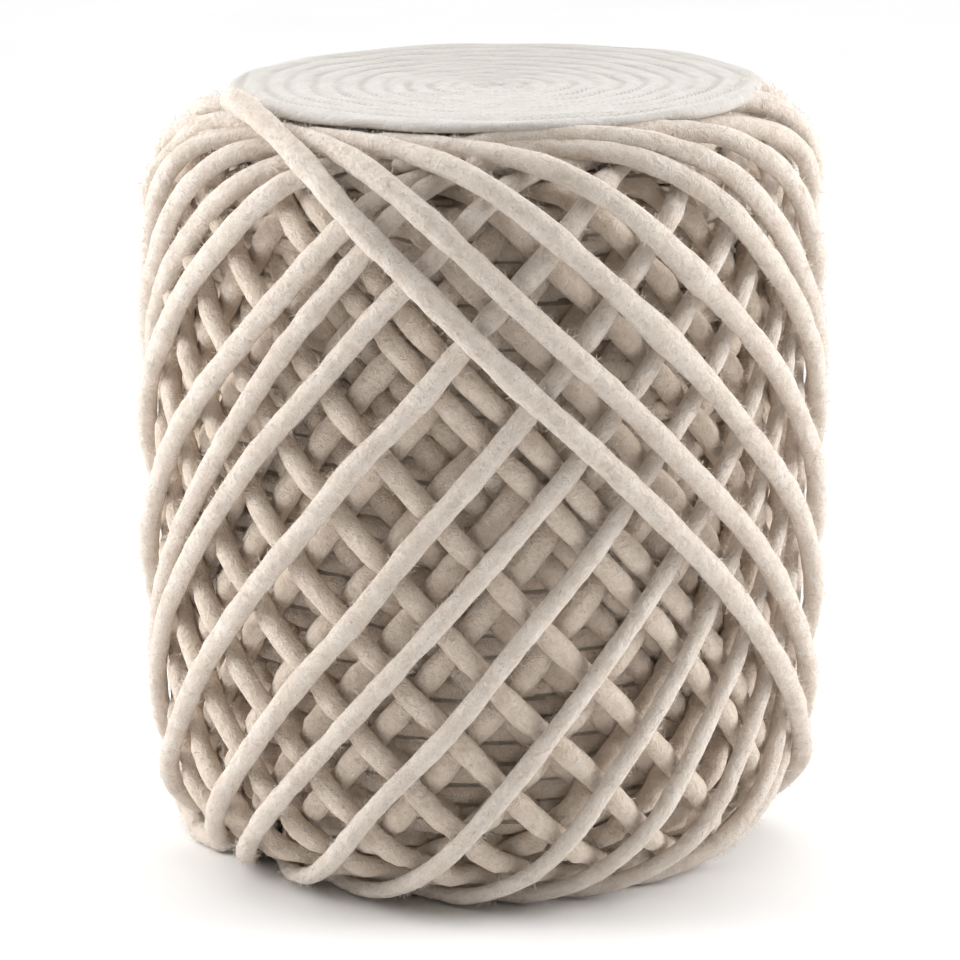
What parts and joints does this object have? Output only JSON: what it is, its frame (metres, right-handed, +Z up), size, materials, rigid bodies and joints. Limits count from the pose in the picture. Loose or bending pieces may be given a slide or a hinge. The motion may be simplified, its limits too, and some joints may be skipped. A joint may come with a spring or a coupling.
{
  "type": "wound wool cylinder pouf",
  "caption": "Drum-shaped pouf of thick felted wool strand wound in crossing slanting tiers, with a flat coiled top, for a seat or footrest.",
  "frame": {"origin": "on the floor, at the middle of the pouf's footprint", "axes": "+Z up along the drum's axis, front towards -Y"},
  "size_m": [0.4064, 0.416, 0.4613],
  "materials": {
    "wool_strand": "felted wool, fuzzy, warm off-white",
    "wool_inner": "felted wool, shaded deeper turns",
    "wool_disc": "felted wool, coiled flat and stitched"
  },
  "bodies": {
    "root": {"inner_windings": "wool_inner", "outer_strand_01": "wool_strand", "outer_strand_02": "wool_strand", "outer_strand_03": "wool_strand", "outer_strand_04": "wool_strand", "outer_strand_05": "wool_strand", "outer_strand_06": "wool_strand", "outer_strand_07": "wool_strand", "outer_strand_08": "wool_strand", "outer_strand_09": "wool_strand", "outer_strand_10": "wool_strand", "outer_strand_11": "wool_strand", "second_strand_01": "wool_strand", "second_strand_02": "wool_strand", "second_strand_03": "wool_strand", "second_strand_04": "wool_strand", "second_strand_05": "wool_strand", "second_strand_06": "wool_strand", "second_strand_07": "wool_strand", "second_strand_08": "wool_strand", "second_strand_09": "wool_strand", "second_strand_10": "wool_strand", "second_strand_11": "wool_strand", "second_strand_12": "wool_strand", "second_strand_13": "wool_strand", "second_strand_14": "wool_strand", "second_strand_15": "wool_strand", "second_strand_16": "wool_strand", "second_strand_17": "wool_strand", "second_strand_18": "wool_strand", "second_strand_19": "wool_strand", "second_strand_20": "wool_strand", "second_strand_21": "wool_strand", "second_strand_22": "wool_strand", "top_coil": "wool_disc"}
  },
  "joints": []
}
